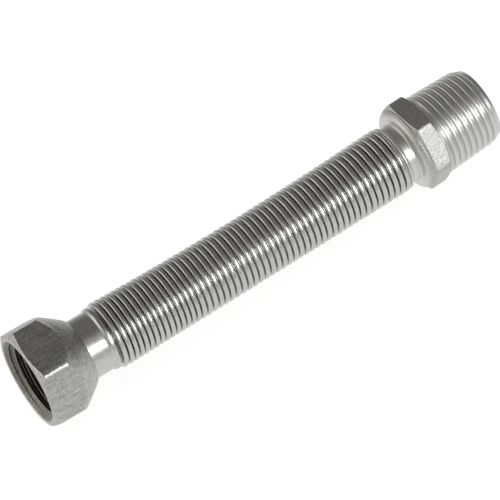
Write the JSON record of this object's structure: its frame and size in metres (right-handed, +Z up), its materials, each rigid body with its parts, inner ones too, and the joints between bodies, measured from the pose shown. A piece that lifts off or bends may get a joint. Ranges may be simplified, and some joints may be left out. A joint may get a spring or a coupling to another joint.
{
  "type": "flexible water hose",
  "caption": "Short stainless corrugated water hose with a swivelling hexagonal union nut at one end and a tapered male hexagonal nipple at the other.",
  "frame": {"origin": "centre of the bounding box in plan, on the floor that both hexagons rest on", "axes": "+X along the hose from the union nut to the male nipple, +Z up from the floor"},
  "size_m": [0.1386, 0.0298, 0.0285],
  "materials": {
    "corrugated_steel": "bright drawn stainless steel",
    "turned_steel": "bright turned stainless steel",
    "satin_steel": "satin stainless steel with fine lengthwise scratches",
    "gasket_rubber": "matt black",
    "cast_steel": "cast stainless steel with machined threads"
  },
  "bodies": {
    "hose": {"bellows": "corrugated_steel", "flanged_tail": "turned_steel", "sealing_washer": "gasket_rubber", "male_nipple": "cast_steel"},
    "union_nut": {"union_nut": "satin_steel"}
  },
  "joints": [
    {"name": "union_nut_spin", "type": "hinge", "parent": "hose", "child": "union_nut", "pos_m": [-0.06895, -0.00087, 0.01441], "axis": [0.9996, 0, -0.0282], "continuous": true}
  ]
}
